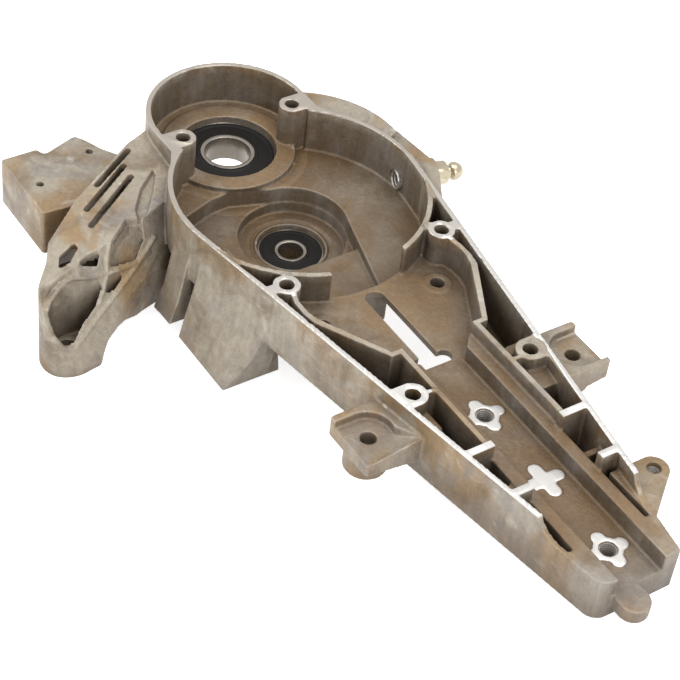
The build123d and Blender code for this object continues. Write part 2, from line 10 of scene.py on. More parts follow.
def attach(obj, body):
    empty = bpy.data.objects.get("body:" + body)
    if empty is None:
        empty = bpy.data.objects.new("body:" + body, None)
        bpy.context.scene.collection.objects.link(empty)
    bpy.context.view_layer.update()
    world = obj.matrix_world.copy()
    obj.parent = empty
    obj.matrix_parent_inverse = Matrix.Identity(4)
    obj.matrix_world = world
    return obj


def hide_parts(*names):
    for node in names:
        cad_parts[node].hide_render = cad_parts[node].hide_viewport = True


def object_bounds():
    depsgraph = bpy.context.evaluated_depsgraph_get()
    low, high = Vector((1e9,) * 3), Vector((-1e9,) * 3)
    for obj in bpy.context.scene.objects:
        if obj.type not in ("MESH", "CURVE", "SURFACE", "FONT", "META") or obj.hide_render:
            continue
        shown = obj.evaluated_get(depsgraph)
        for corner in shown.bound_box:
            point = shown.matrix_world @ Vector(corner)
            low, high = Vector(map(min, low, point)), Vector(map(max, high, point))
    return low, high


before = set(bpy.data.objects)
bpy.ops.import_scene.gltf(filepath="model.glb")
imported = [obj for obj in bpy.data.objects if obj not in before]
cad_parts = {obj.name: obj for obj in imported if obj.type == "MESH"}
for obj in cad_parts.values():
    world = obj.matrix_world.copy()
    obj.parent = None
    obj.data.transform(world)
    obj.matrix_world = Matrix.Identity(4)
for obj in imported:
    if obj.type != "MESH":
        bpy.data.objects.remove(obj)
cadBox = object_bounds()
mm = 0.001


def srgb(r, g, b):
    # linear colour from 0-255 screen values
    screen = (r / 255, g / 255, b / 255)
    linear = tuple(v / 12.92 if v <= 0.04045 else ((v + 0.055) / 1.055) ** 2.4 for v in screen)
    return linear + (1.0,)


# camera: found by fitting the rim, boss circles and channel lines of the photo
cameraView = {
    "place": (387.99, -279.49, 380.0), "yaw": -51.90, "pitch": 42.89, "roll": -7.44,
    "lens": 103.4, "sensor": 36, "nearest": 0.01,
}


def setCamera(c):
    yaw, pitch, roll = (math.radians(c[k]) for k in ("yaw", "pitch", "roll"))
    level = math.cos(pitch)
    forward = Vector((math.sin(yaw) * level, math.cos(yaw) * level, -math.sin(pitch)))
    right = Vector((math.cos(yaw), -math.sin(yaw), 0))
    down = forward.cross(right)
    across = math.cos(roll) * right + math.sin(roll) * down
    below = -math.sin(roll) * right + math.cos(roll) * down
    camera = bpy.data.objects.new("camera", bpy.data.cameras.new("camera"))
    bpy.context.collection.objects.link(camera)
    m = Matrix((across, -below, -forward)).transposed().to_4x4()
    m.translation = Vector(c["place"]) * mm
    camera.matrix_world = m
    camera.data.lens = c["lens"]
    camera.data.sensor_width = c["sensor"]
    camera.data.clip_start = c["nearest"]
    bpy.context.scene.camera = camera


setCamera(cameraView)
print("stage: camera")


# helpers for node trees, the same for shaders and for geometry
def put(t, kind, inputs=None, **props):
    n = t.nodes.new(kind)
    for k, v in props.items():
        setattr(n, k, v)
    for k, v in (inputs or {}).items():
        if isinstance(v, bpy.types.NodeSocket):
            t.links.new(v, n.inputs[k])
        else:
            n.inputs[k].default_value = v
    return n


def maths(t, op, a, b=0.0):
    return put(t, "ShaderNodeMath", {0: a, 1: b}, operation=op).outputs[0]


def product(t, first, *others):
    for other in others:
        first = maths(t, "MULTIPLY", first, other)
    return first


def between(t, value, low, high):
    return product(t, maths(t, "GREATER_THAN", value, low), maths(t, "LESS_THAN", value, high))


def ramp(t, value, low, high):
    inputs = {"Value": value, "From Min": low, "From Max": high}
    return put(t, "ShaderNodeMapRange", inputs, clamp=True).outputs[0]


def mixColour(t, share, a, b, blend="MIX"):
    # sockets 0, 6 and 7 are the share and the two colours
    inputs = {0: share, 6: a, 7: b}
    return put(t, "ShaderNodeMix", inputs, data_type="RGBA", blend_type=blend).outputs[2]


def scaled(t, colour, amount):
    inputs = {0: colour, "Scale": amount}
    return put(t, "ShaderNodeVectorMath", inputs, operation="SCALE").outputs[0]


def stretched(t, coord, scale, turn=0.0):
    inputs = {"Vector": coord, "Scale": scale, "Rotation": (0, 0, turn)}
    return put(t, "ShaderNodeMapping", inputs).outputs[0]


def noise(t, coord, scale, detail=4.0, rough=0.55, distortion=0.0):
    inputs = {"Vector": coord, "Scale": scale, "Detail": detail, "Roughness": rough,
              "Distortion": distortion}
    return put(t, "ShaderNodeTexNoise", inputs).outputs["Fac"]


def newGroup(name, kind, inputs, outputs):
    g = bpy.data.node_groups.new(name, kind)
    for socketName, socketKind, value in inputs:
        s = g.interface.new_socket(name=socketName, in_out="INPUT", socket_type=socketKind)
        if value is not None:
            s.default_value = value
    for socketName, socketKind in outputs:
        g.interface.new_socket(name=socketName, in_out="OUTPUT", socket_type=socketKind)
    given = g.nodes.new("NodeGroupInput").outputs
    return g, given, g.nodes.new("NodeGroupOutput").inputs


# group: fine metal grain, used by every finish here
def grainTree():
    g, given, result = newGroup(
        "metalGrain", "ShaderNodeTree",
        (("Coord", "NodeSocketVector", None), ("Size", "NodeSocketFloat", 1500.0),
         ("Rough base", "NodeSocketFloat", 0.4), ("Rough spread", "NodeSocketFloat", 0.1)),
        (("Roughness", "NodeSocketFloat"), ("Height", "NodeSocketFloat")))
    fine = noise(g, given["Coord"], given["Size"], 3.0)
    wide = noise(g, given["Coord"], maths(g, "MULTIPLY", given["Size"], 0.05), 4.0)
    spread = maths(g, "MULTIPLY", maths(g, "SUBTRACT", wide, 0.5), given["Rough spread"])
    g.links.new(maths(g, "ADD", given["Rough base"], spread), result["Roughness"])
    g.links.new(maths(g, "ADD", fine, maths(g, "MULTIPLY", wide, 0.6)), result["Height"])
    return g


# group: a stain that grows in where a noise rises from one level to another
def stainTree():
    g, given, result = newGroup(
        "castStain", "ShaderNodeTree",
        (("Base", "NodeSocketColor", None), ("Stain", "NodeSocketColor", None),
         ("Coord", "NodeSocketVector", None), ("Scale", "NodeSocketFloat", 40.0),
         ("Low", "NodeSocketFloat", 0.45), ("High", "NodeSocketFloat", 0.6),
         ("Amount", "NodeSocketFloat", 1.0)),
        (("Color", "NodeSocketColor"),))
    level = ramp(g, noise(g, given["Coord"], given["Scale"], 5.0, 0.6, 0.8), given["Low"], given["High"])
    share = maths(g, "MULTIPLY", level, given["Amount"])
    g.links.new(mixColour(g, share, given["Base"], given["Stain"]), result["Color"])
    return g


grainGroup, stainGroup = grainTree(), stainTree()


def useGroup(t, tree, inputs):
    return put(t, "ShaderNodeGroup", inputs, node_tree=tree)


def newMaterial(name):
    m = bpy.data.materials.new(name)
    m.use_nodes = True
    t = m.node_tree
    t.nodes.clear()
    out = t.nodes.new("ShaderNodeOutputMaterial")
    bsdf = t.nodes.new("ShaderNodeBsdfPrincipled")
    t.links.new(bsdf.outputs["BSDF"], out.inputs["Surface"])
    return m, t, bsdf


# the casting's finish: its colours, the regions that they fill, and the wear and painted shade on top
# a stain is a colour, a scale in 1/m, the noise levels that it grows between, and its amount
castFinish = {
    "tan": srgb(152, 127, 94), "grey": srgb(165, 155, 139), "brown": srgb(98, 79, 56),
    # wall, wallCool and floor colour the inside: grease plus painted shade, darkest on the walls
    "cool": srgb(142, 136, 131), "pale": srgb(208, 201, 190), "wall": srgb(119, 105, 88),
    "wallCool": srgb(148, 141, 134), "floor": srgb(118, 94, 66), "machined": srgb(228, 226, 223),
    "machinedDark": srgb(202, 198, 193), "machinedDull": srgb(176, 167, 156),
    "outsideStains": (("tan", 27.0, 0.46, 0.57, 0.95), ("brown", 66.0, 0.49, 0.68, 0.62),
                      ("cool", 47.0, 0.54, 0.66, 0.6), ("pale", 90.0, 0.58, 0.72, 0.45)),
    "wallStain": ("wallCool", 52.0, 0.47, 0.64, 0.75),
    "floorStain": ("floor", 38.0, 0.36, 0.58, 0.8), "floorShare": 0.45,
    "steep": (0.75, 0.35), "flat": 0.9,
    # the skirt values paint shade, darker brown low on the skirt towards the nose
    "skirtShadeAlong": (0.02, 0.13), "skirtShadeDown": (-0.003, -0.016), "skirtShadeShare": 0.55,
    "noseAlong": (0.148, 0.172), "noseScale": 60.0, "noseLevels": (0.40, 0.58), "noseGrey": 0.45,
    "cupX": 1.0, "cupR": 40.0, "pinionX": -41.0, "pinionR": 26.4, "pinionPaler": 0.32,
    "gearDarker": 0.2, "halfWide": 39.6, "taper": 0.1638, "channelEnd": (0.172, 0.150),
    # grease sets how far the inside turns to its grease and painted shade colours
    "below": (-0.0006, -0.0035), "bottom": 27.0, "grease": 0.86,
    "fineScale": 620.0, "fineAmount": 0.75, "dragScale": (380, 380, 40), "dragAmount": 0.8,
    # the last two values on the next line set the painted shade that ambient occlusion puts in corners and
    # pockets
    "edge": (0.52, 0.60), "edgeAmount": 0.55, "occlusionReach": 0.022, "occlusionDarkest": (0.40, 0.36, 0.32),
    "rimDepth": 0.00025, "rimEnd": 148.5, "padFrom": 92.0, "padDepth": (10.8, 10.2),
    "cutScale": (60, 900, 60), "cutTurn": 0.5, "dullAlong": (0.08, 0.0), "cutRough": 0.34,
    "metal": 0.25, "cutMetal": 0.3, "grain": 1300.0, "rough": 0.50, "roughSpread": 0.35,
    "bump": 0.6, "bumpDepth": 0.00035, "cutSmooth": 0.9,
}


def stained(t, c, p, base, stain):
    colour, scale, low, high, amount = stain
    return useGroup(t, stainGroup, {"Base": base, "Stain": c[colour], "Coord": p, "Scale": scale,
                                    "Low": low, "High": high, "Amount": amount}).outputs[0]


def outsideColour(t, c, p, x, z):
    colour = c["grey"]
    for stain in c["outsideStains"]:
        colour = stained(t, c, p, colour, stain)
    # painted shade: browner and darker low on the skirt towards the nose, where the light falls off; greyer at
    # the nose's end
    lowShade = product(t, ramp(t, x, *c["skirtShadeAlong"]), ramp(t, z, *c["skirtShadeDown"]), c["skirtShadeShare"])
    colour = mixColour(t, lowShade, colour, c["brown"])
    patches = ramp(t, noise(t, p, c["noseScale"]), *c["noseLevels"])
    nose = product(t, ramp(t, x, *c["noseAlong"]), patches, c["noseGrey"])
    return mixColour(t, nose, colour, c["cool"])


def greasedAndShadedColour(t, c, p, spots, outside, steep):
    # inside the cups and the channel, grease plus painted shade: steep walls go dark and grey, floors brown;
    # the darkening stands in for the shade deep in the pockets as well as for grease
    x, y, z = spots

    def within(centreX, radius):
        across = maths(t, "POWER", maths(t, "SUBTRACT", x, centreX * mm), 2.0)
        reach = maths(t, "ADD", across, maths(t, "POWER", y, 2.0))
        return maths(t, "LESS_THAN", reach, (radius * mm) ** 2)

    inPinion, inGear = within(c["pinionX"], c["pinionR"]), within(c["cupX"], c["cupR"])
    walls = stained(t, c, p, c["wall"], c["wallStain"])
    floors = stained(t, c, p, mixColour(t, c["floorShare"], outside, c["floor"]), c["floorStain"])
    # the pinion cup's floor is paler than the gear cup's
    paler = maths(t, "ADD", 1.0, maths(t, "MULTIPLY", inPinion, c["pinionPaler"]))
    floors = scaled(t, floors, maths(t, "SUBTRACT", paler, maths(t, "MULTIPLY", inGear, c["gearDarker"])))
    halfWide = maths(t, "SUBTRACT", c["halfWide"] * mm, maths(t, "MULTIPLY", x, c["taper"]))
    inLong = product(t, maths(t, "LESS_THAN", maths(t, "ABSOLUTE", y), halfWide),
                     maths(t, "GREATER_THAN", x, 0.0), ramp(t, x, *c["channelEnd"]))
    inside = maths(t, "MAXIMUM", maths(t, "MAXIMUM", inGear, inPinion), inLong)
    inside = product(t, inside, ramp(t, z, *c["below"]), maths(t, "GREATER_THAN", z, -c["bottom"] * mm))
    # painted shade with grease: inside, the colour turns to the dark walls and the brown floors
    greaseAndShade = mixColour(t, steep, floors, walls)
    return mixColour(t, maths(t, "MULTIPLY", inside, c["grease"]), outside, greaseAndShade)


def wornAndShadedColour(t, c, p, colour, steep):
    # fine mottling everywhere, and drag marks down the steep walls
    fine = maths(t, "SUBTRACT", noise(t, p, c["fineScale"], 6.0, 0.7), 0.5)
    drag = maths(t, "SUBTRACT", noise(t, stretched(t, p, c["dragScale"]), 1.0, 5.0), 0.5)
    marks = maths(t, "ADD", product(t, fine, c["fineAmount"]), product(t, drag, steep, c["dragAmount"]))
    colour = scaled(t, colour, maths(t, "ADD", 1.0, marks))
    # edges are rubbed pale
    point = t.nodes.new("ShaderNodeNewGeometry").outputs["Pointiness"]
    rubbed = product(t, ramp(t, point, *c["edge"]), c["edgeAmount"])
    colour = mixColour(t, rubbed, colour, c["pale"])
    # painted shade: the colour is multiplied darker in corners, creases and pockets where ambient occlusion
    # finds nearby surfaces
    occlusion = put(t, "ShaderNodeAmbientOcclusion", {"Distance": c["occlusionReach"]}, samples=8).outputs["AO"]
    occlusionShades = {k: maths(t, "ADD", maths(t, "MULTIPLY", occlusion, 1 - shade), shade)
              for k, shade in enumerate(c["occlusionDarkest"])}
    paintedShade = put(t, "ShaderNodeCombineColor", occlusionShades).outputs[0]
    return mixColour(t, 1.0, colour, paintedShade, "MULTIPLY")


def machinedPlaces(t, c, x, z, facing):
    # machined faces: the rim, the boss tops and the pads in the channel
    rim = product(t, maths(t, "GREATER_THAN", z, -c["rimDepth"]), maths(t, "LESS_THAN", x, c["rimEnd"] * mm))
    deep, shallow = c["padDepth"]
    pad = product(t, between(t, z, -deep * mm, -shallow * mm), maths(t, "GREATER_THAN", x, c["padFrom"] * mm))
    flat = maths(t, "GREATER_THAN", facing, c["flat"])
    return maths(t, "MAXIMUM", rim, maths(t, "MULTIPLY", pad, flat))


def castingMaterial(c):
    m, t, bsdf = newMaterial("castAluminium")
    coords = t.nodes.new("ShaderNodeTexCoord")
    p = coords.outputs["Object"]
    x, y, z = put(t, "ShaderNodeSeparateXYZ", {0: p}).outputs
    normal = put(t, "ShaderNodeSeparateXYZ", {0: coords.outputs["Normal"]}).outputs
    facing = maths(t, "ABSOLUTE", normal[2])
    steep = ramp(t, facing, *c["steep"])
    outside = outsideColour(t, c, p, x, z)
    colour = greasedAndShadedColour(t, c, p, (x, y, z), outside, steep)
    colour = wornAndShadedColour(t, c, p, colour, steep)
    machined = machinedPlaces(t, c, x, z, facing)
    cutMarks = noise(t, stretched(t, p, c["cutScale"], c["cutTurn"]), 1.0, 3.0)
    shine = mixColour(t, cutMarks, c["machinedDark"], c["machined"])
    shine = mixColour(t, ramp(t, x, *c["dullAlong"]), shine, c["machinedDull"])
    t.links.new(mixColour(t, machined, colour, shine), bsdf.inputs["Base Color"])
    g = useGroup(t, grainGroup, {"Coord": p, "Size": c["grain"], "Rough base": c["rough"],
                                 "Rough spread": c["roughSpread"]}).outputs
    cutRough = (c["cutRough"],) * 3 + (1,)
    t.links.new(mixColour(t, machined, g["Roughness"], cutRough), bsdf.inputs["Roughness"])
    metal = maths(t, "ADD", maths(t, "MULTIPLY", machined, c["cutMetal"]), c["metal"])
    t.links.new(metal, bsdf.inputs["Metallic"])
    smoother = maths(t, "SUBTRACT", 1.0, maths(t, "MULTIPLY", machined, c["cutSmooth"]))
    bump = put(t, "ShaderNodeBump", {"Height": product(t, g["Height"], smoother),
                                     "Strength": c["bump"], "Distance": c["bumpDepth"]})
    t.links.new(bump.outputs[0], bsdf.inputs["Normal"])
    return m


def plainFinish(name, colour, rough, metal, size=1500.0, bumpDepth=0.00003):
    spread, dark, toneScale, bumpStrength = 0.08, 0.6, 180.0, 0.3
    m, t, bsdf = newMaterial(name)
    p = t.nodes.new("ShaderNodeTexCoord").outputs["Object"]
    g = useGroup(t, grainGroup, {"Coord": p, "Size": size, "Rough base": rough,
                                 "Rough spread": spread}).outputs
    shade = tuple(v * dark for v in colour[:3]) + (1.0,)
    t.links.new(mixColour(t, noise(t, p, toneScale), shade, colour), bsdf.inputs["Base Color"])
    t.links.new(g["Roughness"], bsdf.inputs["Roughness"])
    bsdf.inputs["Metallic"].default_value = metal
    bump = put(t, "ShaderNodeBump", {"Height": g["Height"], "Strength": bumpStrength,
                                     "Distance": bumpDepth})
    t.links.new(bump.outputs[0], bsdf.inputs["Normal"])
    return m


casting = castingMaterial(castFinish)
ringSteel = plainFinish("groundSteel", srgb(168, 160, 150), 0.28, 0.9)
ballSteel = plainFinish("ballSteel", srgb(215, 215, 216), 0.12, 1.0)
cageSteel = plainFinish("pressedSteel", srgb(168, 166, 162), 0.38, 1.0)
sealRubber = plainFinish("sealRubber", srgb(22, 19, 17), 0.52, 0.0, 900.0, 0.00004)
sealRubber.node_tree.nodes["Principled BSDF"].inputs["Specular IOR Level"].default_value = 0.25
nipplePlate = plainFinish("zincPlate", srgb(205, 194, 168), 0.30, 0.85)
threadMetal = plainFinish("cutThread", srgb(226, 222, 216), 0.30, 0.6)
print("stage: materials")


def finishMesh(name, mesh, material, body, nodes=(), angle=35):
    mesh.materials.clear()
    mesh.materials.append(material)
    mesh.shade_smooth()
    mesh.set_sharp_from_angle(angle=math.radians(angle))
    piece = bpy.data.objects.new(name, mesh)
    bpy.context.collection.objects.link(piece)
    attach(piece, body)
    if nodes:
        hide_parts(*nodes)
    return piece


def dressNode(name, material):
    # a solid of the CAD that stays and only gets its material
    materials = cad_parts[name].data.materials
    materials.clear()
    materials.append(material)


def realized(g, points, instance, given, result):
    # copies on points as real geometry with the group's material
    copies = put(g, "GeometryNodeInstanceOnPoints", {"Points": points, "Instance": instance})
    real = put(g, "GeometryNodeRealizeInstances", {"Geometry": copies.outputs[0]})
    done = put(g, "GeometryNodeSetMaterial", {"Geometry": real.outputs[0], "Material": given["Material"]})
    g.links.new(done.outputs[0], result["Geometry"])
    return g


# group: copies of a ball on a ring
def ballRingTree():
    g, given, result = newGroup(
        "ballRing", "GeometryNodeTree",
        (("Count", "NodeSocketInt", 8), ("Ring radius", "NodeSocketFloat", 0.01),
         ("Ball radius", "NodeSocketFloat", 0.002), ("Material", "NodeSocketMaterial", None)),
        (("Geometry", "NodeSocketGeometry"),))
    circle = put(g, "GeometryNodeMeshCircle", {"Vertices": given["Count"], "Radius": given["Ring radius"]})
    ball = put(g, "GeometryNodeMeshUVSphere", {"Segments": 32, "Rings": 16, "Radius": given["Ball radius"]})
    return realized(g, circle.outputs[0], ball.outputs[0], given, result)


# group: turns of a thread as ridges stacked along Z
def threadTree():
    g, given, result = newGroup(
        "threadTurns", "GeometryNodeTree",
        (("Turns", "NodeSocketInt", 6), ("Pitch", "NodeSocketFloat", 0.0008),
         ("Radius", "NodeSocketFloat", 0.0025), ("Material", "NodeSocketMaterial", None)),
        (("Geometry", "NodeSocketGeometry"),))
    path = put(g, "GeometryNodeCurvePrimitiveCircle", {"Resolution": 48, "Radius": given["Radius"]})
    ridgeRadius = maths(g, "MULTIPLY", given["Pitch"], 0.42)
    ridge = put(g, "GeometryNodeCurvePrimitiveCircle", {"Resolution": 6, "Radius": ridgeRadius})
    turn = put(g, "GeometryNodeCurveToMesh", {"Curve": path.outputs[0], "Profile Curve": ridge.outputs[0]})
    step = put(g, "ShaderNodeCombineXYZ", {"Z": given["Pitch"]})
    line = put(g, "GeometryNodeMeshLine", {"Count": given["Turns"], "Offset": step.outputs[0]})
    return realized(g, line.outputs[0], turn.outputs[0], given, result)


def grown(tree, values, place):
    # plain mesh of what a geometry group makes from these named values
    holder = bpy.data.objects.new("holder", bpy.data.meshes.new("holder"))
    bpy.context.collection.objects.link(holder)
    mod = holder.modifiers.new("nodes", "NODES")
    mod.node_group = tree
    for item in tree.interface.items_tree:
        if item.in_out == "INPUT" and item.name in values:
            mod[item.identifier] = values[item.name]
    holder.update_tag()
    graph = bpy.context.evaluated_depsgraph_get()
    mesh = bpy.data.meshes.new_from_object(holder.evaluated_get(graph))
    bpy.data.objects.remove(holder)
    mesh.transform(place)
    return mesh


ballRing, threadTurns = ballRingTree(), threadTree()


def shift(x, y=0.0, z=0.0):
    return Matrix.Translation((x * mm, y * mm, z * mm))


def bridge(bm, a, b):
    # faces between two closed rows of points
    for k in range(len(a)):
        n = (k + 1) % len(a)
        bm.faces.new((a[k], a[n], b[n], b[k]))


def stack(bm, rows):
    # closed solid between the first row and the last
    for a, b in zip(rows, rows[1:]):
        bridge(bm, a, b)
    bm.faces.new(rows[0])
    bm.faces.new(rows[-1])


def addTurned(bm, profile, place, segments):
    # closed (radius, height) outline in millimetres, turned about the axis of the matrix place
    angles = [2 * math.pi * k / segments for k in range(segments)]
    rows = []
    for r, z in profile:
        spots = [Vector((r * math.cos(a), r * math.sin(a), z)) * mm for a in angles]
        rows.append([bm.verts.new(place @ spot) for spot in spots])
    for a, b in zip(rows, rows[1:] + rows[:1]):
        bridge(bm, a, b)
    bmesh.ops.remove_doubles(bm, verts=bm.verts, dist=1e-7)
    bmesh.ops.dissolve_degenerate(bm, dist=1e-8, edges=bm.edges)
    bmesh.ops.recalc_face_normals(bm, faces=bm.faces)


def toMesh(bm, name):
    mesh = bpy.data.meshes.new(name)
    bm.to_mesh(mesh)
    bm.free()
    return mesh


def turned(profile, place):
    bm = bmesh.new()
    addTurned(bm, profile, place, 96)
    return toMesh(bm, "turned")


# forms that both bearings share: chamfers, corners, the seals' seats and the balls' play
ringForm = {"chamfer": 0.35, "chamferIn": 0.12, "chamferDown": 0.1, "corner": 0.15, "seat": 0.95,
            "land": 1.0, "play": 0.06, "arcSteps": 6}
pinionBearing = {
    "name": "pinion_bearing", "body": "pinion_inner", "cageBody": "pinion_cage", "x": -41.0,
    "top": 16.2, "bore": 15.0, "od": 32.0, "width": 9.0, "ring": 2.35, "ball": 2.38, "balls": 9,
    "face": 0.6, "innerFace": 1.5,
}
crankBearing = {
    "name": "crank_bearing", "body": "crank_inner", "cageBody": "crank_cage", "x": 0.0,
    "top": 27.6, "bore": 8.0, "od": 22.0, "width": 7.0, "ring": 2.0, "ball": 1.98, "balls": 7,
    "face": 0.9, "innerFace": 1.2,
}


def raceway(b, f, r, side):
    # arc of the balls' groove on a ring's wall at radius r
    race, pitch = b["ball"] + f["play"], (b["bore"] + b["od"]) / 4
    mid = -b["top"] - b["width"] / 2
    half = math.atan2(math.sqrt(max(race ** 2 - (pitch - r) ** 2, 0)), abs(pitch - r))
    steps = f["arcSteps"]
    angles = [half * (-1 + k / steps) for k in range(2 * steps + 1)]
    return [(pitch - side * race * math.cos(a), mid - race * math.sin(a)) for a in angles]


def ringProfile(b, f, fitted, lip, wall, side, ease):
    # outline of a ring from its fitted face, over the lip beside the seal, to the raceway's wall
    top, bottom = -b["top"], -b["top"] - b["width"]
    sunk, level = f["chamferIn"], f["chamferDown"]
    upper = [(fitted, top - f["chamfer"]), (fitted + side * sunk, top - level),
             (fitted + side * f["chamfer"], top), (lip - side * ease, top),
             (lip, top - f["corner"]), (lip, top - f["seat"]), (wall, top - f["land"])]
    under = [(wall, bottom + f["land"]), (lip, bottom + f["seat"]), (lip, bottom + f["corner"]),
             (lip - side * ease, bottom), (fitted + side * f["chamfer"], bottom),
             (fitted + side * sunk, bottom + level), (fitted, bottom + f["chamfer"])]
    return upper + raceway(b, f, wall, side) + under


def sealProfile(s0, s1):
    # (radius, depth) outline of a seal: inner lip, sunk middle, outer bead
    q = s1 - s0
    return [(s0, 0.22), (s0 + 0.12, 0.05), (s0 + q * 0.10, 0.0), (s0 + q * 0.16, 0.05),
            (s0 + q * 0.20, 0.20), (s0 + q * 0.78, 0.20), (s0 + q * 0.82, 0.04),
            (s0 + q * 0.92, 0.0), (s1 - 0.15, 0.03), (s1, 0.18), (s1, 0.68), (s0 + 0.2, 0.68),
            (s0, 0.5)]


def bearingPieces(b, f):
    name, place = b["name"], shift(b["x"])
    ri, ro = b["bore"] / 2, b["od"] / 2
    shoulder, edge = ri + b["innerFace"], ro - b["face"]
    inner = ringProfile(b, f, ri, shoulder, ri + b["ring"], 1, f["corner"])
    outer = ringProfile(b, f, ro, edge, ro - b["ring"], -1, 0.1)
    finishMesh(name + "_inner_turned", turned(inner, place), ringSteel, b["body"],
               [name + "_inner_ring"], 40)
    finishMesh(name + "_outer_turned", turned(outer, place), ringSteel, "casing",
               [name + "_outer_ring"], 40)
    lip, sunk = sealProfile(shoulder + 0.06, edge - 0.02), 0.2
    for side, z0, up in (("top", -b["top"] - sunk, -1), ("bottom", -b["top"] - b["width"] + sunk, 1)):
        seal = turned([(r, z0 + up * h) for r, h in lip], place)
        finishMesh(name + "_seal_" + side + "_moulded", seal, sealRubber, "casing",
                   [name + "_seal_" + side], 30)
    pitch = (b["bore"] + b["od"]) / 4
    balls = grown(ballRing, {"Count": b["balls"], "Ring radius": pitch * mm,
                             "Ball radius": b["ball"] * mm, "Material": ballSteel},
                  shift(b["x"], 0, -b["top"] - b["width"] / 2))
    finishMesh(name + "_ball_set", balls, ballSteel, b["cageBody"], [name + "_balls"], 60)
    dressNode(name + "_cage", cageSteel)


bearingPieces(pinionBearing, ringForm)
bearingPieces(crankBearing, ringForm)
print("stage: bearings")

# grease nipple: its axis leaves the gear cup's wall
nipple = {
    "x": -0.4, "cupR": 39.2, "cupX": 1.0, "depth": 12.6, "angle": 76.0, "start": 13.5, "hex": 7.0,
    "hexHeight": 4.0, "hexCap": 0.12, "hexCorner": 0.45, "neck": 1.6, "head": 4.2, "headR": 3.1,
    "threadR": 3.0, "bore": 1.25, "seat": 0.6, "sides": 72, "segments": 48,
}


def nipplePlace(n):
    a = math.radians(n["angle"])
    foot = Vector((n["x"], math.sqrt(n["cupR"] ** 2 - (n["x"] - n["cupX"]) ** 2), -n["depth"]))
    out = Vector((math.cos(a), math.sin(a), 0))
    up = Vector((0, 0, 1))
    m = Matrix((up, out.cross(up), out)).transposed().to_4x4()
    m.translation = foot * mm
    return m


def addHexagon(bm, n, m, low, high):
    # six flats with their corners turned off
    half = n["hex"] / 2
    corner, cap = half / math.cos(math.pi / 6), half + n["hexCap"]
    rows = []
    for h, widest in ((low, cap), (low + n["hexCorner"], corner), (high - n["hexCorner"], corner), (high, cap)):
        rows.append([])
        for k in range(n["sides"]):
            a = 2 * math.pi * k / n["sides"]
            r = min(half / math.cos((a + math.pi / 6) % (math.pi / 3) - math.pi / 6), widest)
            rows[-1].append(bm.verts.new(m @ (Vector((r * math.cos(a), r * math.sin(a), h)) * mm)))
    stack(bm, rows)


def nipplePiece(n):
    m = nipplePlace(n)
    h0 = n["start"]
    h1 = h0 + n["hexHeight"]
    h2 = h1 + n["neck"]
    h3 = h2 + n["head"]
    r, seat, bore, thread = n["headR"], n["seat"], n["bore"], n["threadR"]
    shank = [(bore, h0 - 7), (thread - 0.5, h0 - 7), (thread, h0 - 6.4), (thread, h0), (2.6, h0 + 0.01)]
    neck = [(2.6, h1 - 0.01), (2.15, h1), (2.0, h1 + 0.5), (2.05, h2 - 0.35), (2.6, h2)]
    head = [(r - 0.08, h2 + 0.55), (r, h2 + 1.1), (r - 0.05, h2 + 2.0), (r - 0.55, h3 - 1.1),
            (1.9, h3 - 0.35), (1.35, h3 - 0.03), (0.95, h3), (seat, h3 - 0.25), (seat, h3 - 1.3),
            (bore, h3 - 1.3)]
    bm = bmesh.new()
    addTurned(bm, shank + neck + head, m, n["segments"])
    addHexagon(bm, n, m, h0, h1)
    bmesh.ops.recalc_face_normals(bm, faces=bm.faces)
    finishMesh("grease_nipple", toMesh(bm, "nipple"), nipplePlate, "casing", ["nipple_body"], 28)
    dressNode("nipple_check_ball", ballSteel)


nipplePiece(nipple)
print("stage: nipple")

# threads that show in the holes: turns, pitch, radius and the place of the first turn
threads = {
    "stud_thread_rear": (7, 0.8, 2.55, shift(102.4, 0, -16.2)),
    "stud_thread_front": (7, 0.8, 2.55, shift(159.1, 0, -16.2)),
    "lug_thread": (6, 0.7, 2.15, shift(145.1, 26.3, -10.7)),
    "nipple_thread": (7, 1.0, 3.05, nipplePlace(nipple)),
}
for threadName, (turns, pitch, radius, place) in threads.items():
    ridges = grown(threadTurns, {"Turns": turns, "Pitch": pitch * mm, "Radius": radius * mm,
                                 "Material": threadMetal}, place)
    finishMesh(threadName, ridges, threadMetal, "casing", (), 60)
print("stage: threads")

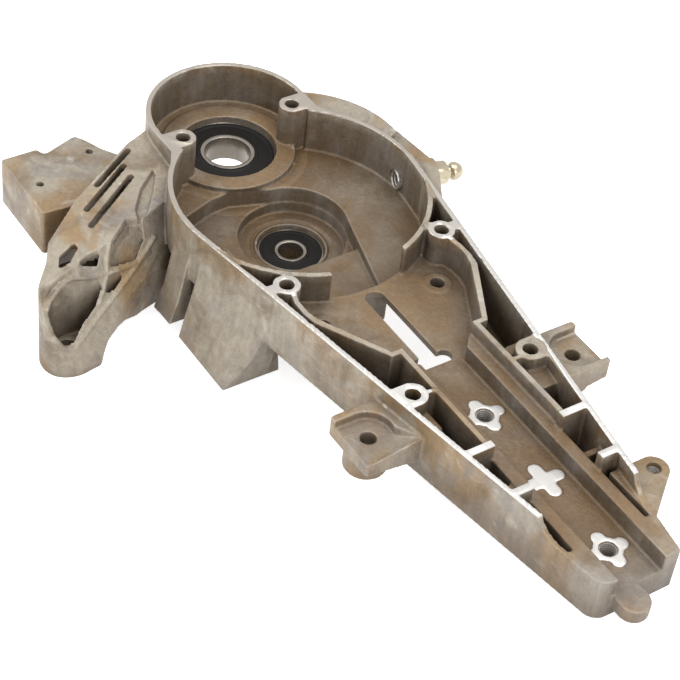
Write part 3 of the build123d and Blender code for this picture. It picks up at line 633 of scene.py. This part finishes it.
# casting: a softened copy of the solid, with the small forms that its rough surface hides
castBody = {
    "voxel": 0.36, "quickVoxel": 0.6, "faces": 190000, "softFactor": 0.5, "softSteps": 4,
    "evenSteps": 2, "rimDepth": 0.9, "rimDrop": -0.7,
    # boxes in plan, on the +Y side, whose tops or undersides move
    "ear": ((85.7, 27.0), (106.7, 44.0)), "earLevels": (-14.5, -12.0),
    "earFront": ((98.7, -44.0), (107.2, -27.0)), "earFrontLevels": (-5.2, -8.0),
    "wallEnd": ((40.0, 22.0), (46.6, 31.0)), "arcWall": ((17.0, 20.0), (40.5, 38.0)),
    "bossTie": ((93.0, 12.0), (97.0, 16.5)), "bossWeb": ((89.0, 22.0), (99.0, 24.6)),
    # bosses as x, y and the radius that keeps its height
    "middleBoss": (38.8, 28.0, 4.3), "frontBoss": (94.0, 20.8, 4.6),
    "cupX": 1.0, "arcBand": (39.9, 42.4), "arcWide": 39.75, "taper": 0.1638,
    "studs": (102.4, 159.1), "studSegments": 40,
    "studBottom": [(2.6, -12.9), (4.3, -12.9), (4.3, -19.9), (0.0, -19.9), (0.0, -17.0), (2.6, -17.0)],
    # the crank block's face at each depth, as two points in plan, and the plane behind it
    "blockFace": [(8.0, (9.4, -39.9), (39.8, -35.2)), (14.0, (9.4, -40.9), (39.7, -35.3)),
                  (20.0, (9.4, -42.1), (39.4, -36.0)), (26.0, (9.4, -43.4), (38.9, -38.0)),
                  (32.0, (9.4, -44.9), (37.9, -41.6)), (37.9, (9.4, -46.4), (36.4, -46.2))],
    "blockBack": -30.0,
    # ribs of the guard arm as a radius and a run of points
    "ribs": [
        (0.8, [(-8.1, -74.2, -16.2), (-8.2, -68.0, -18.4), (-8.7, -62.2, -19.8),
               (-10.4, -50.1, -21.4), (-12.4, -45.0, -20.0)]),
        (0.7, [(-13.5, -58.4, -12.0), (-11.1, -60.7, -15.8), (-8.8, -61.8, -19.8),
               (-6.0, -64.6, -24.0), (-4.2, -67.0, -26.6)]),
        (0.9, [(-3.0, -85.6, -20.8), (-4.6, -83.6, -18.8), (-6.9, -79.0, -17.0),
               (-8.3, -74.2, -16.2)]),
        (0.9, [(-14.6, -42.0, -16.6), (-13.3, -44.4, -18.1), (-9.9, -51.1, -22.0),
               (-6.1, -59.3, -26.0), (-2.6, -67.4, -29.4), (1.1, -75.5, -33.2),
               (2.4, -78.9, -34.8), (2.3, -82.6, -33.0), (0.6, -85.2, -28.8)])],
    "ribSides": 10,
    # shallow webs between them as a depth, the width of the sloping border and an outline
    "webs": [
        (1.7, 1.2, [(-14.5, -57.0), (-9.5, -60.5), (-10.9, -51.3), (-13.6, -46.2), (-17.5, -45.0),
                    (-19.5, -50.0)]),
        (1.3, 0.9, [(-34.0, -32.0), (-28.2, -40.0), (-21.5, -45.6), (-16.6, -47.2),
                    (-17.8, -42.8), (-25.0, -36.8), (-31.0, -32.6)])],
    # middle and size of each plate that floors a pocket of the arm
    "pocketFloors": [((-14.0, -66.5, -21.5), (10.0, 15.0, 4.0)), ((-18.0, -55.0, -21.5), (9.0, 12.0, 4.0))],
}


def lower(bm, box, level, target, keep=lambda q: False):
    # moves the points at one level inside a box, all in millimetres
    (x0, y0), (x1, y1) = box
    for v in bm.verts:
        q = v.co / mm
        if x0 < q.x < x1 and y0 < q.y < y1 and abs(q.z - level) < 0.06 and not keep(q):
            v.co.z = target * mm


def acrossAxis(box, side):
    # the same box on the +Y or the -Y side
    (x0, y0), (x1, y1) = box
    return box if side > 0 else ((x0, -y1), (x1, -y0))


def lowerTops(bm, c):
    def onBoss(q, boss):
        return math.hypot(q.x - boss[0], abs(q.y) - boss[1]) < boss[2]

    def offArc(q):
        inner, outer = c["arcBand"]
        wide = c["arcWide"] - c["taper"] * (q.x - c["cupX"])
        on = inner < math.hypot(q.x - c["cupX"], q.y) < outer and abs(q.y) <= wide
        return not on or onBoss(q, c["middleBoss"])

    for side in (1, -1):
        lower(bm, acrossAxis(c["ear"], side), *c["earLevels"])
        # ends of the channel walls beside the middle bosses, arc walls, and ties of the front bosses
        lower(bm, acrossAxis(c["wallEnd"], side), 0.0, c["rimDrop"], lambda q: onBoss(q, c["middleBoss"]))
        lower(bm, acrossAxis(c["arcWall"], side), 0.0, c["rimDrop"], offArc)
        lower(bm, acrossAxis(c["bossTie"], side), 0.0, c["rimDrop"], lambda q: onBoss(q, c["frontBoss"]))
    lower(bm, c["bossWeb"], 0.0, c["rimDrop"])
    lower(bm, c["earFront"], *c["earFrontLevels"])


def addBlock(bm, c):
    # the crank block's smooth face, closed by a plane behind it
    rows = []
    for depth, a, b in c["blockFace"]:
        corners = (a, b, (b[0], c["blockBack"]), (a[0], c["blockBack"]))
        rows.append([bm.verts.new(Vector((x, y, -depth)) * mm) for x, y in corners])
    stack(bm, rows)


def addRib(bm, radius, points, sides):
    # tube along a run of points, closed at both ends
    run = [Vector(q) * mm for q in points]
    turns = [2 * math.pi * k / sides for k in range(sides)]
    rows = []
    for k, at in enumerate(run):
        along = (run[min(k + 1, len(run) - 1)] - run[max(k - 1, 0)]).normalized()
        if rows:
            # starts beside the row before it, so that the tube doesn't twist
            u = (u - along * u.dot(along)).normalized()
        else:
            u = along.orthogonal().normalized()
        v = along.cross(u)
        rows.append([bm.verts.new(at + (u * math.cos(a) + v * math.sin(a)) * radius * mm) for a in turns])
    stack(bm, rows)


def sinkWebs(mesh, webs):
    # lowers the upward surface inside each outline, with a sloping border
    count, upward = len(mesh.vertices), 0.25
    place, normal = np.empty(count * 3), np.empty(count * 3)
    mesh.vertices.foreach_get("co", place)
    mesh.vertices.foreach_get("normal", normal)
    place, up = place.reshape(-1, 3), normal.reshape(-1, 3)[:, 2]
    x, y = place[:, 0] / mm, place[:, 1] / mm
    for depth, border, outline in webs:
        near = np.full(count, np.inf)
        within = np.zeros(count, bool)
        for (ax, ay), (bx, by) in zip(outline, outline[1:] + outline[:1]):
            dx, dy = bx - ax, by - ay
            along = np.clip(((x - ax) * dx + (y - ay) * dy) / (dx ** 2 + dy ** 2), 0, 1)
            near = np.minimum(near, np.hypot(x - ax - along * dx, y - ay - along * dy))
            # counts the outline's crossings on the +X side of each point
            within ^= ((ay > y) != (by > y)) & (x < ax + (y - ay) * dx / dy)
        sink = np.clip(near / border, 0, 1) * within * (up > upward)
        place[:, 2] -= depth * mm * sink * sink * (3 - 2 * sink)
    mesh.vertices.foreach_set("co", place.ravel())
    mesh.update()


def shapedCasting(c):
    bm = bmesh.new()
    bm.from_mesh(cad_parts["housing"].data)
    bmesh.ops.remove_doubles(bm, verts=bm.verts, dist=2e-6)
    lowerTops(bm, c)
    addBlock(bm, c)
    # blind bottoms of the stud holes, and floors of the pockets in the arm
    for x in c["studs"]:
        addTurned(bm, c["studBottom"], shift(x), c["studSegments"])
    for middle, size in c["pocketFloors"]:
        for v in bmesh.ops.create_cube(bm, size=1.0)["verts"]:
            v.co = Vector(a + b * q for a, b, q in zip(middle, size, v.co)) * mm
    for radius, points in c["ribs"]:
        addRib(bm, radius, points, c["ribSides"])
    bmesh.ops.recalc_face_normals(bm, faces=bm.faces)
    return toMesh(bm, "casting")


def baked(work):
    # the object's mesh with its modifiers applied
    graph = bpy.context.evaluated_depsgraph_get()
    out = bpy.data.meshes.new_from_object(work.evaluated_get(graph))
    work.modifiers.clear()
    work.data = out
    return out


def softCasting(c):
    sharp = bpy.data.objects.new("sharpCasting", shapedCasting(c))
    work = bpy.data.objects.new("castingWork", sharp.data.copy())
    for o in (sharp, work):
        bpy.context.collection.objects.link(o)
    vox = work.modifiers.new("voxel", "REMESH")
    vox.mode = "VOXEL"
    vox.voxel_size = c["voxel"] * mm
    print("casting faces after remesh", len(baked(work).polygons))
    # the machined edge is pulled back onto the sharp form, the rest stays softly rounded
    onRim = [v.co.z / mm > -c["rimDepth"] for v in work.data.vertices]
    for name, chosen in (("rim", True), ("rough", False)):
        group = work.vertex_groups.new(name=name)
        group.add([k for k, on in enumerate(onRim) if on == chosen], 1.0, "REPLACE")
    wrap = work.modifiers.new("onto", "SHRINKWRAP")
    wrap.target = sharp
    wrap.vertex_group = "rim"
    soft = work.modifiers.new("soft", "SMOOTH")
    soft.factor = c["softFactor"]
    soft.iterations = c["softSteps"]
    soft.vertex_group = "rough"
    even = work.modifiers.new("even", "SMOOTH")
    even.factor = c["softFactor"]
    even.iterations = c["evenSteps"]
    even.vertex_group = "rim"
    even.use_z = False
    full = baked(work)
    sinkWebs(full, c["webs"])
    thin = work.modifiers.new("thin", "DECIMATE")
    thin.ratio = min(1.0, c["faces"] / (2.0 * len(full.polygons)))
    final = baked(work).copy()
    # nothing passes the CAD's own box
    for v in final.vertices:
        v.co = [min(max(q, low), high) for q, low, high in zip(v.co, *cadBox)]
    for o in (sharp, work):
        bpy.data.objects.remove(o)
    print("casting faces", len(final.polygons))
    finishMesh("cast_casing", final, casting, "casing", ["housing"], 50)


softCasting(castBody)
print("stage: casting")

# floor, lamps and world; the lamps in metres, each with its size and power
studio = {
    "floorPoint": (40, -37, -38.05), "floorUp": (-0.133, -0.016, 1.0), "floorSize": 3.0,
    "floorWhite": 0.85, "floorRough": 0.9, "glow": 0.80, "world": 0.50, "aim": (0.05, -0.01, -0.02),
    "lamps": (((-0.55, -0.75, 0.85), 0.7, 6.4), ((0.1, 0.25, 1.1), 0.9, 5.4), ((0.9, -0.2, 0.5), 0.6, 4.2)),
}


def seenOrMirrored(t):
    # 1 where the camera or a reflection looks, 0 for the light that falls on the object
    path = t.nodes.new("ShaderNodeLightPath").outputs
    return maths(t, "MAXIMUM", path["Is Camera Ray"], path["Is Glossy Ray"])


def floorMaterial(s):
    m, t, bsdf = newMaterial("paleFloor")
    bsdf.inputs["Base Color"].default_value = (s["floorWhite"],) * 3 + (1,)
    bsdf.inputs["Roughness"].default_value = s["floorRough"]
    glow = put(t, "ShaderNodeEmission", {"Color": (1, 1, 1, 1), "Strength": s["glow"]})
    both = put(t, "ShaderNodeAddShader", {0: bsdf.outputs[0], 1: glow.outputs[0]})
    pick = put(t, "ShaderNodeMixShader", {0: seenOrMirrored(t), 1: bsdf.outputs[0], 2: both.outputs[0]})
    t.links.new(pick.outputs[0], t.nodes["Material Output"].inputs["Surface"])
    return m


def studioFloor(s):
    up = Vector(s["floorUp"]).normalized()
    a = up.orthogonal().normalized()
    b = up.cross(a)
    at = Vector(s["floorPoint"]) * mm
    corners = [at + (a * u + b * v) * s["floorSize"] for u, v in ((-1, -1), (1, -1), (1, 1), (-1, 1))]
    mesh = bpy.data.meshes.new("floor")
    mesh.from_pydata(corners, [], [(0, 1, 2, 3)])
    mesh.materials.append(floorMaterial(s))
    floor = bpy.data.objects.new("floor", mesh)
    bpy.context.collection.objects.link(floor)


def studioLamps(s):
    for k, (place, size, power) in enumerate(s["lamps"]):
        lamp = bpy.data.objects.new("softbox%d" % k, bpy.data.lights.new("softbox%d" % k, "AREA"))
        lamp.data.shape = "DISK"
        lamp.data.size = size
        lamp.data.energy = power
        lamp.location = place
        lamp.rotation_euler = (Vector(s["aim"]) - Vector(place)).to_track_quat("-Z", "Y").to_euler()
        bpy.context.collection.objects.link(lamp)


def studioWorld(s):
    world = bpy.data.worlds.new("studio")
    world.use_nodes = True
    bpy.context.scene.world = world
    w = world.node_tree
    back = w.nodes["Background"]
    back.inputs["Color"].default_value = (1, 1, 1, 1)
    inputs = {"Value": seenOrMirrored(w), "To Min": s["world"], "To Max": 1.0}
    w.links.new(put(w, "ShaderNodeMapRange", inputs).outputs[0], back.inputs["Strength"])


studioFloor(studio)
studioLamps(studio)
studioWorld(studio)
bpy.context.scene.view_settings.view_transform = "Standard"
print("stage: studio")
